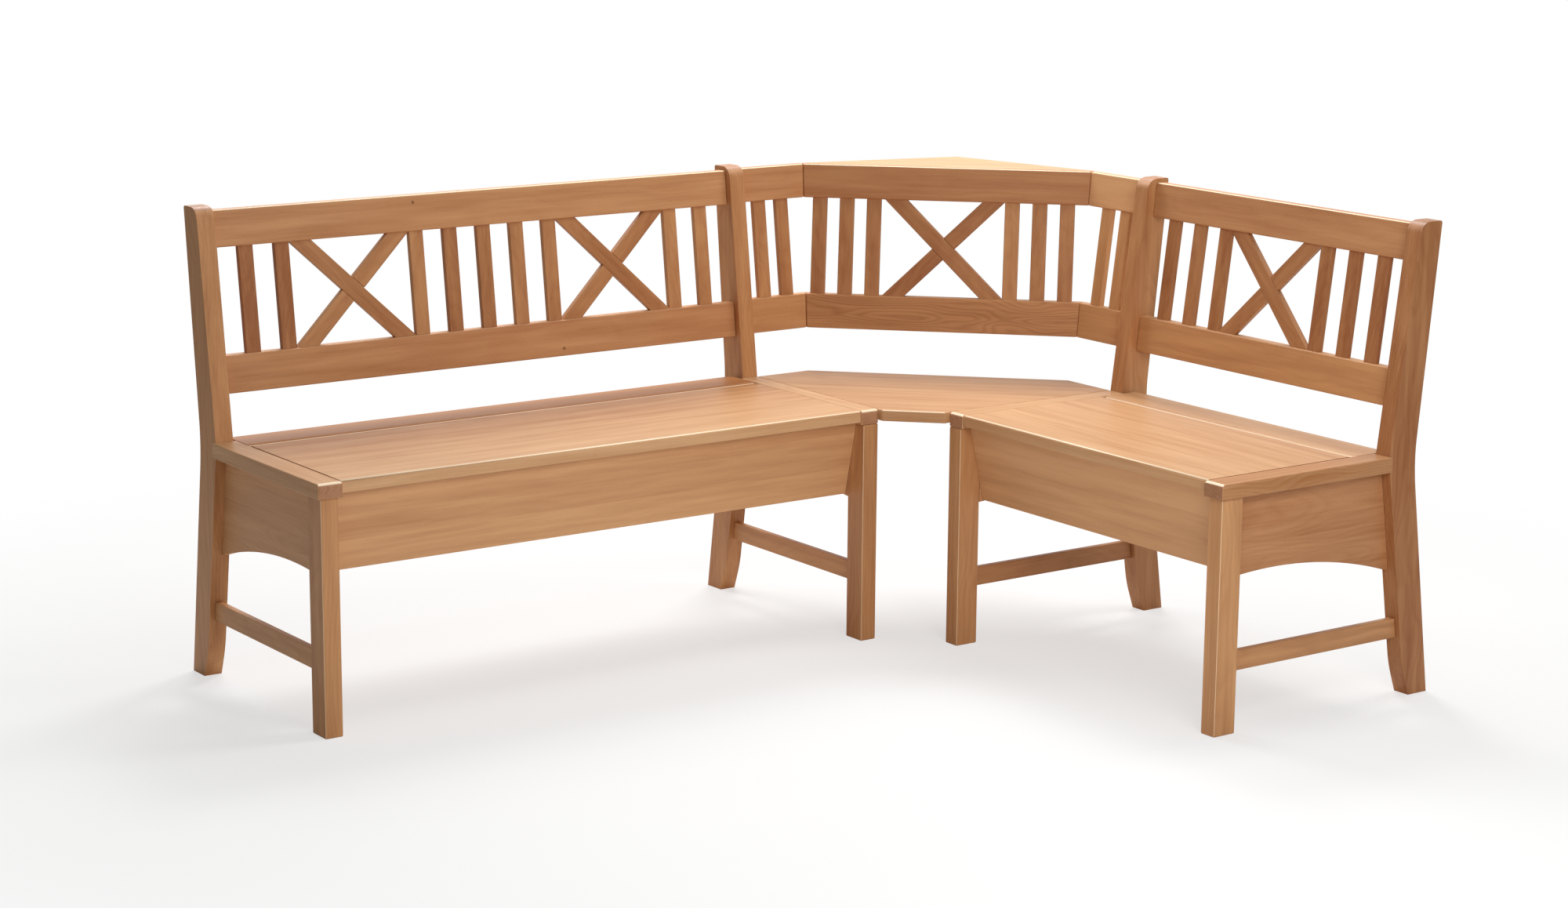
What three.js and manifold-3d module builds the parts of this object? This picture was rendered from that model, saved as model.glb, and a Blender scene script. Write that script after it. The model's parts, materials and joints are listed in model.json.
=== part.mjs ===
// Corner storage bench in solid beech: two box seats with lifting lids, joined by a corner seat,
// an angled back and a small corner shelf. Millimetres, +Z up, feet at z = 0.
// The long bench runs along +X and faces -Y. The short bench runs along -Y and faces -X.
import * as THREE from 'three';
import { ConvexGeometry } from 'three/addons/geometries/ConvexGeometry.js';
import { mergeVertices } from 'three/addons/utils/BufferGeometryUtils.js';
import Module from 'manifold-3d';

// Overall layout
const LONG_LENGTH = 1205;
const SHORT_LENGTH = 766;
const CORNER_STEP = 98;
const SEAT_HEIGHT = 460;
const BACK_HEIGHT = 884;

// Gap left between neighbouring pieces, and how far a cut runs past a face
const FIT = 0.3;
const OVERRUN = 5;

// End frames: front leg, rear post, side panel, stretcher and seat cap
const FRAME_WIDTH = 35;
const LEG_DEPTH = 50;
const POST_FOOT_FRONT = 487.5;
const POST_FOOT_DEPTH = 47.5;
const POST_KNEE_FRONT = 467.5;
const POST_KNEE_HEIGHT = 57;
const POST_SEAT_FRONT = 410;
const POST_SEAT_DEPTH = 63;
const POST_TOP_DEPTH = 52;
const POST_BEND_DROP = 15;
const POST_BEND_RADIUS = 400;
const POST_KNEE_RADIUS = 250;
const POST_FRONT_RADIUS = 24;
const POST_REAR_RADIUS = 5;
const BACK_LEAN_SHARE = 0.1274;
const PANEL_THICKNESS = 15;
const PANEL_FRONT_HEIGHT = 282;
const PANEL_REAR_HEIGHT = 239;
const PANEL_ARCH_RISE = 21.5;
const STRETCHER_HEIGHT = 37;
const STRETCHER_THICKNESS = 14;
const STRETCHER_RISE = 112;
const CAP_THICKNESS = 28;
const CAP_OVERHANG = 8;
const CAP_LIP = 5;
const CAP_RADIUS = 7;

// Lid, fixed rear strip and the steel pins that the lid turns on
const LID_THICKNESS = 22;
const LID_FRONT = 1.2;
const LID_DEPTH = 356.8;
const LID_RADIUS = 5;
const LID_END_GAP = 2;
const STRIP_GAP = 2;
const STRIP_DEPTH = 81.5;
const STRIP_RADIUS = 8;
const STRIP_END_GAP = 0.5;
const PIN_RADIUS = 4;
const PIN_LENGTH = 60;

// Storage box
const BOX_HEIGHT = 152;
const APRON_THICKNESS = 18;
const APRON_TOP_INSET = 22;
const APRON_BOTTOM_INSET = 57;
const BACK_PANEL_THICKNESS = 18;
const BACK_PANEL_INSET = 2;
const FLOOR_THICKNESS = 12;
const FLOOR_RISE = 6;

// Backrest rails, slats and crosses
const RAIL_THICKNESS = 20;
const TOP_RAIL_WIDTH = 68;
const BOTTOM_RAIL_WIDTH = 70;
const RAIL_DROP = 8;
const RAIL_RISE_SHARE = 0.1934;
const LONG_RAIL_SETBACK = 14;
const SHORT_RAIL_SETBACK = 22;
const CORNER_RAIL_SETBACK = 24;
const SLAT_WIDTH = 30;
const SLAT_THICKNESS = 12;
const TENON = 14;
const CROSS_CUT = 46;
const LONG_CROSS_WIDTH = 252;
const LONG_END_GAP_SHARES = [1.15, 1.15];
const LONG_SLAT_COUNTS = [2, 5, 2];
const SHORT_CROSS_WIDTH = 244;
const SHORT_END_GAP_SHARES = [1.03, 1.32];
const SHORT_SLAT_COUNTS = [3, 3];

// Corner seat, corner back and shelf
const DIAGONAL_REACH = 478;
const DIAGONAL_CROSS_WIDTH = 248;
const DIAGONAL_END_GAP_SHARES = [0.3, 0.64];
const DIAGONAL_CROSS_GAP_SHARE = 0.26;
const DIAGONAL_SLAT_COUNTS = [3, 3];
const RETURN_SLATS = 2;
const RETURN_SLAT_GAP = 26;
const RETURN_END_GAP = 28;
const CORNER_SEAT_LIP = 7.8;
const CORNER_SEAT_BACK = 128;
const CLEAT_WIDTH = 22;
const CLEAT_HEIGHT = 30;
const CLEAT_FRONT = 40;
const CLEAT_REACH = 25;
const SHELF_DEPTH = 185;
const SHELF_THICKNESS = 18;

// Smoothness of the rounded stretches
const ARC_STEPS = 4;
const ARCH_STEPS = 9;
const PIN_SIDES = 24;

// Levels and depths that several pieces share
const lidUnderside = SEAT_HEIGHT - LID_THICKNESS;
const capUnderside = SEAT_HEIGHT - CAP_THICKNESS;
const boxBottom = lidUnderside - BOX_HEIGHT;
const postBend = SEAT_HEIGHT - POST_BEND_DROP;
const topRailTop = BACK_HEIGHT - RAIL_DROP;
const topRailBottom = topRailTop - TOP_RAIL_WIDTH;
const bottomRailBottom = SEAT_HEIGHT + RAIL_RISE_SHARE * (BACK_HEIGHT - SEAT_HEIGHT);
const bottomRailTop = bottomRailBottom + BOTTOM_RAIL_WIDTH;
const slatBottom = bottomRailTop + FIT;
const slatTop = topRailBottom - FIT;
const slatInset = (RAIL_THICKNESS - SLAT_THICKNESS) / 2;
const lidRear = LID_FRONT + LID_DEPTH;
const pivotDepth = lidRear - LID_THICKNESS / 2;
const pivotHeight = SEAT_HEIGHT - LID_THICKNESS / 2;
const lidStart = FRAME_WIDTH + CAP_LIP + LID_END_GAP;
const pinCentre = lidStart - LID_END_GAP / 2;
const footBack = POST_FOOT_FRONT + POST_FOOT_DEPTH;
const quarterTurn = Math.PI / 2;
const diagonalTurn = Math.PI / 4;

const wasm = await Module();
wasm.setup();

// Materials

function wood(colour) {
  return new THREE.MeshStandardMaterial({ color: colour, roughness: 0.42, metalness: 0 });
}

const frameBeech = () => wood('#b5814f');
const boardBeech = () => wood('#be8e62');
const seatBeech = () => wood('#dca87c');
const slatBeech = () => wood('#b57e50');
const steel = () => new THREE.MeshStandardMaterial({ color: '#a9abae', roughness: 0.35, metalness: 1 });

// Shape helpers

// An outline in depth and height, drawn out along X from x = 0.
function sideBoard(outline, width, steps = ARC_STEPS) {
  const settings = { depth: width, bevelEnabled: false, curveSegments: steps };
  return new THREE.ExtrudeGeometry(outline, settings).rotateX(quarterTurn).rotateZ(quarterTurn);
}

// An outline in plan, drawn up between two heights.
function planBoard(outline, bottom, top) {
  const settings = { depth: top - bottom, bevelEnabled: false };
  return new THREE.ExtrudeGeometry(outline, settings).translate(0, 0, bottom);
}

function polygon(points) {
  return new THREE.Shape(points.map(([x, y]) => new THREE.Vector2(x, y)));
}

// An outline whose corners are [x, y, radius]. The first corner is sharp.
function roundedPolygon(corners) {
  const shape = new THREE.Shape();
  corners.forEach(([x, y, radius], index) => {
    if (index === 0) {
      shape.moveTo(x, y);
      return;
    }
    if (!radius) {
      shape.lineTo(x, y);
      return;
    }
    const corner = new THREE.Vector2(x, y);
    const next = corners[(index + 1) % corners.length];
    const back = new THREE.Vector2(...corners[index - 1]).sub(corner).normalize();
    const ahead = new THREE.Vector2(next[0], next[1]).sub(corner).normalize();
    const half = back.angleTo(ahead) / 2;
    const bisector = back.clone().add(ahead).normalize();
    const centre = corner.clone().addScaledVector(bisector, radius / Math.sin(half));
    const tangent = radius / Math.tan(half);
    const start = corner.clone().addScaledVector(back, tangent).sub(centre).angle();
    const end = corner.clone().addScaledVector(ahead, tangent).sub(centre).angle();
    shape.absarc(centre.x, centre.y, radius, start, end, back.cross(ahead) > 0);
  });
  return shape;
}

function toSolid(geometry) {
  const bare = geometry.clone();
  bare.deleteAttribute('normal');
  bare.deleteAttribute('uv');
  const merged = mergeVertices(bare);
  const vertProperties = new Float32Array(merged.attributes.position.array);
  const triVerts = new Uint32Array(merged.index.array);
  return new wasm.Manifold(new wasm.Mesh({ numProp: 3, vertProperties, triVerts }));
}

function toGeometry(solid) {
  const { vertProperties, triVerts } = solid.getMesh();
  const geometry = new THREE.BufferGeometry();
  geometry.setAttribute('position', new THREE.BufferAttribute(vertProperties, 3));
  geometry.setIndex(new THREE.BufferAttribute(triVerts, 1));
  geometry.computeVertexNormals();
  return geometry;
}

function joined(geometries) {
  return toGeometry(geometries.map(toSolid).reduce((whole, piece) => whole.add(piece)));
}

function cutFrom(geometry, cutters) {
  return toGeometry(cutters.map(toSolid).reduce((rest, cutter) => rest.subtract(cutter), toSolid(geometry)));
}

function part(name, geometry, material, position = [0, 0, 0]) {
  const mesh = new THREE.Mesh(geometry, material);
  mesh.name = name;
  mesh.position.set(...position);
  return mesh;
}

function block(low, high) {
  const bounds = new THREE.Box3(new THREE.Vector3(...low), new THREE.Vector3(...high));
  const size = bounds.getSize(new THREE.Vector3());
  const centre = bounds.getCenter(new THREE.Vector3());
  return new THREE.BoxGeometry(...size).translate(...centre);
}

function pinShape(radius, length) {
  return new THREE.CylinderGeometry(radius, radius, length, PIN_SIDES).rotateZ(quarterTurn);
}

// The bore for one lid pin, centred on the pin.
function pinBore(x) {
  return pinShape(PIN_RADIUS + FIT, PIN_LENGTH + FIT + FIT).translate(x, pivotDepth, pivotHeight);
}

// How far the back has leaned at a height, counted from the seat.
function leanAt(height) {
  return BACK_LEAN_SHARE * (height - SEAT_HEIGHT);
}

// Depth of the rear post's front face below the bend.
function lowerPostFront(height) {
  const slope = (POST_KNEE_FRONT - POST_SEAT_FRONT) / (postBend - POST_KNEE_HEIGHT);
  return POST_SEAT_FRONT + slope * (postBend - height);
}

// End frames

function rearPostOutline() {
  const topFront = POST_SEAT_FRONT + leanAt(BACK_HEIGHT);
  return roundedPolygon([
    [POST_FOOT_FRONT, 0, 0],
    [footBack, 0, 0],
    [POST_SEAT_FRONT + POST_SEAT_DEPTH, postBend, POST_BEND_RADIUS],
    [topFront + POST_TOP_DEPTH, BACK_HEIGHT, POST_REAR_RADIUS],
    [topFront, BACK_HEIGHT, POST_FRONT_RADIUS],
    [POST_SEAT_FRONT, SEAT_HEIGHT, 0],
    [POST_SEAT_FRONT, postBend, 0],
    [POST_KNEE_FRONT, POST_KNEE_HEIGHT, POST_KNEE_RADIUS],
  ]);
}

// The panel fills the space from the leg to the post above a shallow arch.
function sidePanelOutline() {
  const top = capUnderside - FIT;
  const front = new THREE.Vector2(LEG_DEPTH + FIT, PANEL_FRONT_HEIGHT);
  const rear = new THREE.Vector2(lowerPostFront(PANEL_REAR_HEIGHT) - FIT, PANEL_REAR_HEIGHT);
  const chord = rear.clone().sub(front);
  const radius = chord.lengthSq() / (8 * PANEL_ARCH_RISE) + PANEL_ARCH_RISE / 2;
  const down = new THREE.Vector2(chord.y, -chord.x).normalize();
  const centre = front.clone().lerp(rear, 1 / 2).addScaledVector(down, radius - PANEL_ARCH_RISE);
  const outline = new THREE.Shape();
  outline.moveTo(lowerPostFront(top) - FIT, top);
  outline.lineTo(front.x, top);
  const start = front.sub(centre).angle();
  const end = rear.sub(centre).angle();
  outline.absarc(centre.x, centre.y, radius, start, end, true);
  return outline;
}

function stretcherOutline() {
  const top = STRETCHER_RISE + STRETCHER_HEIGHT;
  return polygon([
    [LEG_DEPTH + FIT, STRETCHER_RISE],
    [lowerPostFront(STRETCHER_RISE) - FIT, STRETCHER_RISE],
    [lowerPostFront(top) - FIT, top],
    [LEG_DEPTH + FIT, top],
  ]);
}

function seatCapOutline(overhang) {
  return roundedPolygon([
    [-overhang, capUnderside, 0],
    [POST_SEAT_FRONT - FIT, capUnderside, 0],
    [POST_SEAT_FRONT - FIT, SEAT_HEIGHT, 0],
    [-overhang, SEAT_HEIGHT, CAP_RADIUS],
  ]);
}

// The cut under the cap's lip that lets the apron and the back panel reach the leg and side panel.
// from and to are the sides of the cut along X.
function lipRebate(from, to) {
  const low = [Math.min(from, to), APRON_TOP_INSET - FIT, capUnderside - OVERRUN];
  const high = [Math.max(from, to), POST_SEAT_FRONT + OVERRUN, lidUnderside];
  return block(low, high);
}

// One end frame. inward is 1 where the bench runs on towards +X and -1 where it runs towards -X.
// Places are counted from the frame's outside face, which is at x = 0. The cap stands out past the
// leg by its overhang at the outside and at the front.
function endFrame(name, inward, capOverhang) {
  const frame = new THREE.Group();
  const placeOf = (start, width) => (inward > 0 ? start : -start - width);
  const leg = new THREE.BoxGeometry(FRAME_WIDTH, LEG_DEPTH, capUnderside - FIT);
  const legCentre = [placeOf(0, FRAME_WIDTH) + FRAME_WIDTH / 2, LEG_DEPTH / 2, (capUnderside - FIT) / 2];
  const postPlace = [placeOf(0, FRAME_WIDTH), 0, 0];
  const panelPlace = [placeOf(FRAME_WIDTH - PANEL_THICKNESS, PANEL_THICKNESS), 0, 0];
  const stretcherStart = (FRAME_WIDTH - STRETCHER_THICKNESS) / 2;
  const stretcherPlace = [placeOf(stretcherStart, STRETCHER_THICKNESS), 0, 0];
  const capWidth = capOverhang + FRAME_WIDTH + CAP_LIP;
  const capPlace = placeOf(-capOverhang, capWidth);
  const capSide = inward * FRAME_WIDTH - capPlace;
  const capCuts = [
    pinBore(inward * pinCentre - capPlace),
    lipRebate(capSide, capSide + inward * (CAP_LIP + OVERRUN)),
  ];
  const cap = cutFrom(sideBoard(seatCapOutline(capOverhang), capWidth), capCuts);
  frame.add(
    part(`${name}_front_leg`, leg, frameBeech(), legCentre),
    part(`${name}_rear_post`, sideBoard(rearPostOutline(), FRAME_WIDTH), frameBeech(), postPlace),
    part(`${name}_side_panel`, sideBoard(sidePanelOutline(), PANEL_THICKNESS, ARCH_STEPS), boardBeech(), panelPlace),
    part(`${name}_stretcher`, sideBoard(stretcherOutline(), STRETCHER_THICKNESS), frameBeech(), stretcherPlace),
    part(`${name}_seat_cap`, cap, seatBeech(), [capPlace, 0, 0]),
  );
  return frame;
}

// Lid, strip and box

// The rear edge of the lid is a half round about the pins.
function lidOutline() {
  const outline = new THREE.Shape();
  outline.moveTo(LID_FRONT, lidUnderside);
  outline.lineTo(pivotDepth, lidUnderside);
  outline.absarc(pivotDepth, pivotHeight, LID_THICKNESS / 2, -quarterTurn, quarterTurn, false);
  const frontCentre = [LID_FRONT + LID_RADIUS, SEAT_HEIGHT - LID_RADIUS];
  outline.absarc(...frontCentre, LID_RADIUS, quarterTurn, Math.PI, false);
  return outline;
}

function stripOutline() {
  const front = lidRear + STRIP_GAP;
  return roundedPolygon([
    [front, lidUnderside, 0],
    [front + STRIP_DEPTH, lidUnderside, 0],
    [front + STRIP_DEPTH, SEAT_HEIGHT, 0],
    [front, SEAT_HEIGHT, STRIP_RADIUS],
  ]);
}

// Depth of the apron's outer face at a height. It slants back towards the bottom.
function apronFront(height) {
  const share = (lidUnderside - height) / BOX_HEIGHT;
  return APRON_TOP_INSET + share * (APRON_BOTTOM_INSET - APRON_TOP_INSET);
}

// Depth of the apron's inner face, whose board keeps its thickness square to the slant.
function apronRear(height) {
  const slant = Math.atan2(APRON_BOTTOM_INSET - APRON_TOP_INSET, BOX_HEIGHT);
  return apronFront(height) + APRON_THICKNESS / Math.cos(slant);
}

function apronOutline() {
  const top = lidUnderside - FIT;
  return polygon([
    [apronFront(boxBottom), boxBottom],
    [apronRear(boxBottom), boxBottom],
    [apronRear(top), top],
    [apronFront(top), top],
  ]);
}

function floorOutline() {
  const bottom = boxBottom + FLOOR_RISE;
  const top = bottom + FLOOR_THICKNESS;
  const rear = POST_SEAT_FRONT - BACK_PANEL_INSET - BACK_PANEL_THICKNESS - FIT;
  return polygon([
    [apronRear(bottom) + FIT, bottom],
    [rear, bottom],
    [rear, top],
    [apronRear(top) + FIT, top],
  ]);
}

function storageBox(name, length) {
  const box = new THREE.Group();
  const start = FRAME_WIDTH + FIT;
  const width = length - start - start;
  const lidWidth = length - lidStart - lidStart;
  const stripStart = FRAME_WIDTH + CAP_LIP + STRIP_END_GAP;
  const stripWidth = length - stripStart - stripStart;
  const bores = [pinBore(pinCentre - lidStart), pinBore(length - pinCentre - lidStart)];
  const lid = cutFrom(sideBoard(lidOutline(), lidWidth), bores);
  const panelHeight = BOX_HEIGHT - FIT;
  const panel = new THREE.BoxGeometry(width, BACK_PANEL_THICKNESS, panelHeight);
  const panelDepth = POST_SEAT_FRONT - BACK_PANEL_INSET - BACK_PANEL_THICKNESS / 2;
  box.add(
    part(`${name}_seat_lid`, lid, seatBeech(), [lidStart, 0, 0]),
    part(`${name}_rear_strip`, sideBoard(stripOutline(), stripWidth), seatBeech(), [stripStart, 0, 0]),
    part(`${name}_apron`, sideBoard(apronOutline(), width), boardBeech(), [start, 0, 0]),
    part(`${name}_back_panel`, panel, boardBeech(), [length / 2, panelDepth, boxBottom + panelHeight / 2]),
    part(`${name}_box_floor`, sideBoard(floorOutline(), width), boardBeech(), [start, 0, 0]),
  );
  [pinCentre, length - pinCentre].forEach((x, index) => {
    const place = [x, pivotDepth, pivotHeight];
    box.add(part(`${name}_lid_pin_${index + 1}`, pinShape(PIN_RADIUS, PIN_LENGTH), steel(), place));
  });
  return box;
}

// Backrests

// A board between two heights that leans with the back, front being its depth at seat level.
function leaningOutline(front, thickness, bottom, top) {
  return polygon([
    [front + leanAt(bottom), bottom],
    [front + leanAt(bottom) + thickness, bottom],
    [front + leanAt(top) + thickness, top],
    [front + leanAt(top), top],
  ]);
}

function railShape(front, length, bottom, top) {
  return sideBoard(leaningOutline(front, RAIL_THICKNESS, bottom, top), length);
}

function slatShape(front, bottom) {
  return sideBoard(leaningOutline(front + slatInset, SLAT_THICKNESS, bottom, slatTop), SLAT_WIDTH);
}

// One bar of a cross: a slanting board with level ends, leaning with the back. rise is 1 or -1.
// Below the slats' lower ends a bar runs straight down, as a tenon.
function crossBar(front, width, bottom, rise) {
  const left = rise > 0 ? 0 : width - CROSS_CUT;
  const topLeft = width - CROSS_CUT - left;
  const tenon = bottom < slatBottom ? [[left, bottom], [left + CROSS_CUT, bottom]] : [];
  const bar = polygon([
    ...tenon,
    [left + CROSS_CUT, slatBottom],
    [topLeft + CROSS_CUT, slatTop],
    [topLeft, slatTop],
    [left, slatBottom],
  ]);
  const settings = { depth: SLAT_THICKNESS, bevelEnabled: false };
  const geometry = new THREE.ExtrudeGeometry(bar, settings).rotateX(quarterTurn);
  geometry.translate(0, front + slatInset + SLAT_THICKNESS + leanAt(0), 0);
  return geometry.applyMatrix4(new THREE.Matrix4().makeShear(0, 0, 0, 0, 0, BACK_LEAN_SHARE));
}

function crossBars(front, width, bottom) {
  return [crossBar(front, width, bottom, 1), crossBar(front, width, bottom, -1)];
}

// Places of the slats and crosses along a span: groups of slats with a cross between each two groups.
// The gaps between slats are equal and share what the slats and crosses leave free. The gaps at the
// two ends and the one before a cross are given as shares of them.
function backLayout(span, groups, crossWidth, endGapShares, crossGapShare) {
  const slatCount = groups.reduce((total, count) => total + count, 0);
  const crossCount = groups.length - 1;
  const free = span - slatCount * SLAT_WIDTH - crossCount * crossWidth;
  const endShares = endGapShares[0] + endGapShares[1];
  const gap = free / (slatCount - groups.length + endShares + crossCount * crossGapShare);
  const slats = [];
  const crosses = [];
  let place = gap * endGapShares[0];
  groups.forEach((count, group) => {
    for (let slat = 0; slat < count; slat += 1) {
      slats.push(place);
      place += SLAT_WIDTH + (slat < count - 1 ? gap : 0);
    }
    if (group < crossCount) {
      place += gap * crossGapShare;
      crosses.push(place);
      place += crossWidth;
    }
  });
  return { slats, crosses, crossWidth };
}

// The length between a bench's two posts, less a gap at each end.
function backSpan(length) {
  return length - 2 * (FRAME_WIDTH + FIT);
}

// A straight backrest between two posts. With slatsJoined the slats are one piece with the lower rail.
function backrest(name, length, layout, setback, slatsJoined) {
  const back = new THREE.Group();
  const front = POST_SEAT_FRONT + setback;
  const start = FRAME_WIDTH + FIT;
  const span = backSpan(length);
  const topRail = railShape(front, span, topRailBottom, topRailTop);
  const bottomRail = railShape(front, span, bottomRailBottom, bottomRailTop);
  back.position.x = start;
  back.add(part(`${name}_back_top_rail`, topRail, boardBeech()));
  if (slatsJoined) {
    const slats = layout.slats.map((x) => slatShape(front, bottomRailTop - TENON).translate(x, 0, 0));
    back.add(part(`${name}_back_slatted_rail`, joined([bottomRail, ...slats]), slatBeech()));
  } else {
    back.add(part(`${name}_back_bottom_rail`, bottomRail, boardBeech()));
    layout.slats.forEach((x, index) => {
      back.add(part(`${name}_back_slat_${index + 1}`, slatShape(front, slatBottom), slatBeech(), [x, 0, 0]));
    });
  }
  layout.crosses.forEach((x, index) => {
    const cross = joined(crossBars(front, layout.crossWidth - FIT - FIT, slatBottom));
    back.add(part(`${name}_back_cross_${index + 1}`, cross, slatBeech(), [x + FIT, 0, 0]));
  });
  return back;
}

// Corner. Its own frame has x counted from the long bench's inner end and y from the short bench's
// inner end, so the corner is symmetric about the line x = y.

// Depth of a corner rail's front face where it runs on from a bench.
function returnFront(height) {
  return CORNER_STEP + POST_SEAT_FRONT + CORNER_RAIL_SETBACK + leanAt(height);
}

// Distance of the diagonal rails' front face from the corner's origin, square to the face.
function diagonalFront(height) {
  return DIAGONAL_REACH + leanAt(height);
}

// Where the face of a return, depth back from its front, meets the like face of the diagonal:
// the place along the return, and the place along the diagonal from its middle.
function jointOnReturn(height, depth) {
  return Math.SQRT2 * (diagonalFront(height) + depth) - returnFront(height) - depth;
}

function jointOnDiagonal(height, depth) {
  return Math.SQRT2 * (returnFront(height) + depth) - diagonalFront(height) - depth;
}

// A piece with flat faces between an outline at one height and a like outline at another.
function betweenLevels(outlineAt, bottom, top) {
  const levels = [bottom, top];
  const points = levels.flatMap((z) => outlineAt(z).map(([x, y]) => new THREE.Vector3(x, y, z)));
  return new ConvexGeometry(points);
}

// Swaps x and y for the return beside the short bench.
function onSide(side, outline) {
  return side === 'left' ? outline : outline.map(([x, y]) => [y, x]);
}

function returnRail(side, bottom, top) {
  const outlineAt = (z) => onSide(side, [
    [FIT, returnFront(z)],
    [jointOnReturn(z, 0) - FIT, returnFront(z)],
    [jointOnReturn(z, RAIL_THICKNESS) - FIT, returnFront(z) + RAIL_THICKNESS],
    [FIT, returnFront(z) + RAIL_THICKNESS],
  ]);
  return betweenLevels(outlineAt, bottom, top);
}

function returnSlat(side, start) {
  const outlineAt = (z) => onSide(side, [
    [start, returnFront(z) + slatInset],
    [start + SLAT_WIDTH, returnFront(z) + slatInset],
    [start + SLAT_WIDTH, returnFront(z) + slatInset + SLAT_THICKNESS],
    [start, returnFront(z) + slatInset + SLAT_THICKNESS],
  ]);
  return betweenLevels(outlineAt, bottomRailTop - TENON, slatTop);
}

function slattedReturnRail(side) {
  const pieces = [returnRail(side, bottomRailBottom, bottomRailTop)];
  for (let slat = 1; slat <= RETURN_SLATS; slat += 1) {
    const fromJoint = RETURN_END_GAP + slat * SLAT_WIDTH + (slat - 1) * RETURN_SLAT_GAP;
    pieces.push(returnSlat(side, jointOnReturn(slatBottom, 0) - fromJoint));
  }
  return joined(pieces);
}

function diagonalRail(bottom, top) {
  const outlineAt = (z) => {
    const front = jointOnDiagonal(z, 0);
    const rear = jointOnDiagonal(z, RAIL_THICKNESS);
    return [
      [-front, diagonalFront(z)],
      [front, diagonalFront(z)],
      [rear, diagonalFront(z) + RAIL_THICKNESS],
      [-rear, diagonalFront(z) + RAIL_THICKNESS],
    ];
  };
  return betweenLevels(outlineAt, bottom, top);
}

// The lower diagonal rail with its slats and cross. Its x runs along the diagonal from the middle.
function slattedDiagonalRail() {
  const end = jointOnDiagonal(slatBottom, 0);
  const foot = bottomRailTop - TENON;
  const layout = backLayout(
    end + end,
    DIAGONAL_SLAT_COUNTS,
    DIAGONAL_CROSS_WIDTH,
    DIAGONAL_END_GAP_SHARES,
    DIAGONAL_CROSS_GAP_SHARE,
  );
  const slats = layout.slats.map((x) => slatShape(DIAGONAL_REACH, foot).translate(x - end, 0, 0));
  const crossWidth = DIAGONAL_CROSS_WIDTH - FIT - FIT;
  const bars = layout.crosses.flatMap((x) => crossBars(DIAGONAL_REACH, crossWidth, foot)
    .map((bar) => bar.translate(x + FIT - end, 0, 0)));
  return joined([diagonalRail(bottomRailBottom, bottomRailTop), ...slats, ...bars]);
}

// The shelf lies behind the upper diagonal rail, its top level with the rail's.
function cornerShelf() {
  const base = diagonalFront(topRailTop) + RAIL_THICKNESS + FIT;
  const end = jointOnDiagonal(topRailTop, RAIL_THICKNESS);
  const outline = polygon([[-end, base], [end, base], [0, base + SHELF_DEPTH]]);
  return planBoard(outline, topRailTop - SHELF_THICKNESS, topRailTop);
}

function cornerSeat() {
  const front = CORNER_STEP - Math.SQRT2 * CORNER_SEAT_LIP - FIT;
  const rear = CORNER_STEP + POST_SEAT_FRONT;
  const outline = polygon([
    [FIT, front],
    [front, FIT],
    [rear, FIT],
    [rear, CORNER_SEAT_BACK],
    [CORNER_SEAT_BACK, rear],
    [FIT, rear],
  ]);
  return planBoard(outline, lidUnderside, SEAT_HEIGHT);
}

// A batten on the outside of an inner frame's leg and post that carries the corner seat.
function cleat(side) {
  const top = lidUnderside - FIT;
  const front = CORNER_STEP + CLEAT_FRONT;
  const rear = CORNER_STEP + POST_SEAT_FRONT + CLEAT_REACH;
  const outline = [[FIT, front], [CLEAT_WIDTH, front], [CLEAT_WIDTH, rear], [FIT, rear]];
  return planBoard(polygon(onSide(side, outline)), top - CLEAT_HEIGHT, top);
}

function corner() {
  const group = new THREE.Group();
  const diagonal = new THREE.Group();
  diagonal.rotation.z = -diagonalTurn;
  diagonal.add(
    part('corner_diagonal_top_rail', diagonalRail(topRailBottom, topRailTop), boardBeech()),
    part('corner_diagonal_slatted_rail', slattedDiagonalRail(), slatBeech()),
    part('corner_shelf', cornerShelf(), seatBeech()),
  );
  group.add(diagonal, part('corner_seat', cornerSeat(), seatBeech()));
  ['left', 'right'].forEach((side) => {
    group.add(
      part(`corner_${side}_top_rail`, returnRail(side, topRailBottom, topRailTop), boardBeech()),
      part(`corner_${side}_slatted_rail`, slattedReturnRail(side), slatBeech()),
      part(`corner_${side}_cleat`, cleat(side), boardBeech()),
    );
  });
  return group;
}

// Benches

function bench(name, length, setback, layout, slatsJoined) {
  const group = new THREE.Group();
  group.add(storageBox(name, length), backrest(name, length, layout, setback, slatsJoined));
  return group;
}

function longBench() {
  const span = backSpan(LONG_LENGTH);
  const layout = backLayout(span, LONG_SLAT_COUNTS, LONG_CROSS_WIDTH, LONG_END_GAP_SHARES, 0);
  const group = bench('long', LONG_LENGTH, LONG_RAIL_SETBACK, layout, false);
  const inner = endFrame('left_inner', -1, 0);
  inner.position.x = LONG_LENGTH;
  group.add(endFrame('left_end', 1, CAP_OVERHANG), inner);
  return group;
}

function shortBench() {
  const span = backSpan(SHORT_LENGTH);
  const layout = backLayout(span, SHORT_SLAT_COUNTS, SHORT_CROSS_WIDTH, SHORT_END_GAP_SHARES, 0);
  const group = bench('short', SHORT_LENGTH, SHORT_RAIL_SETBACK, layout, true);
  const outer = endFrame('right_end', -1, CAP_OVERHANG);
  outer.position.x = SHORT_LENGTH;
  group.add(endFrame('right_inner', 1, 0), outer);
  group.position.set(LONG_LENGTH + CORNER_STEP, -CORNER_STEP, 0);
  group.rotation.z = -quarterTurn;
  return group;
}

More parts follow.
